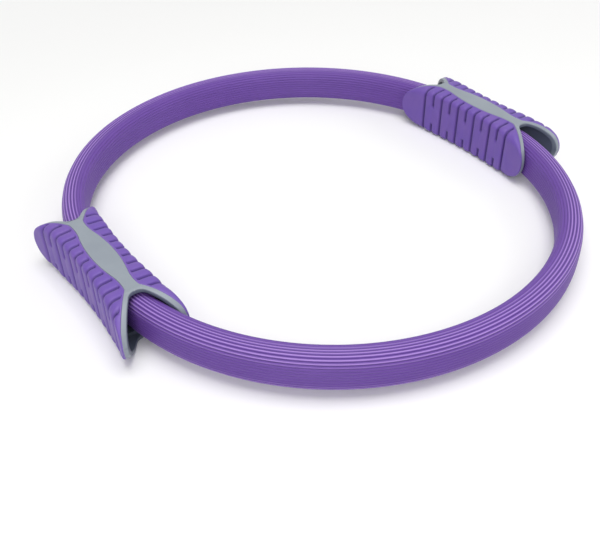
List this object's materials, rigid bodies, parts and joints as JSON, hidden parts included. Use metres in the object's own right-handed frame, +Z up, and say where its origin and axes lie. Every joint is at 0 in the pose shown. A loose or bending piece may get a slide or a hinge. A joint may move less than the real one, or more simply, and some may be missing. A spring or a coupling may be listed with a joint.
{
  "type": "pilates ring",
  "caption": "Flexible hoop of glass-fibre strips in ridged foam sleeves, with two opposite grips whose grooved rubber pads are squeezed together or pressed apart.",
  "frame": {"origin": "middle of the hoop, half way up", "axes": "+X from the left grip to the right grip, +Y to the back of the hoop, +Z up off the flat hoop"},
  "size_m": [0.3812, 0.3854, 0.039],
  "materials": {
    "strip": "glass fibre, satin",
    "foam": "ridged closed-cell foam",
    "shell": "fine satin",
    "pad": "soft, matte",
    "plate": "plain",
    "fastener": "plain"
  },
  "bodies": {
    "hoop_and_left_grip": {"hoop_strip_outer": "strip", "hoop_strip_middle": "strip", "hoop_strip_inner": "strip", "back_foam_sleeve": "foam", "front_foam_sleeve": "foam", "left_outer_shell": "shell", "left_inner_shell": "shell", "left_outer_pad": "pad", "left_inner_pad": "pad", "left_outer_clamp_plate": "plate", "left_inner_clamp_plate": "plate", "left_clamp_screws": "fastener", "left_clamp_nuts": "fastener"},
    "right_grip": {"right_outer_shell": "shell", "right_inner_shell": "shell", "right_outer_pad": "pad", "right_inner_pad": "pad", "right_outer_clamp_plate": "plate", "right_inner_clamp_plate": "plate", "right_clamp_screws": "fastener", "right_clamp_nuts": "fastener"}
  },
  "joints": [
    {"name": "squeeze", "type": "slide", "parent": "hoop_and_left_grip", "child": "right_grip", "axis": [-1, 0, 0], "range_m": [-0.03, 0.08], "stiffness_N_per_m": 1000, "deforming": ["hoop_strip_outer", "hoop_strip_middle", "hoop_strip_inner", "back_foam_sleeve", "front_foam_sleeve"]}
  ]
}
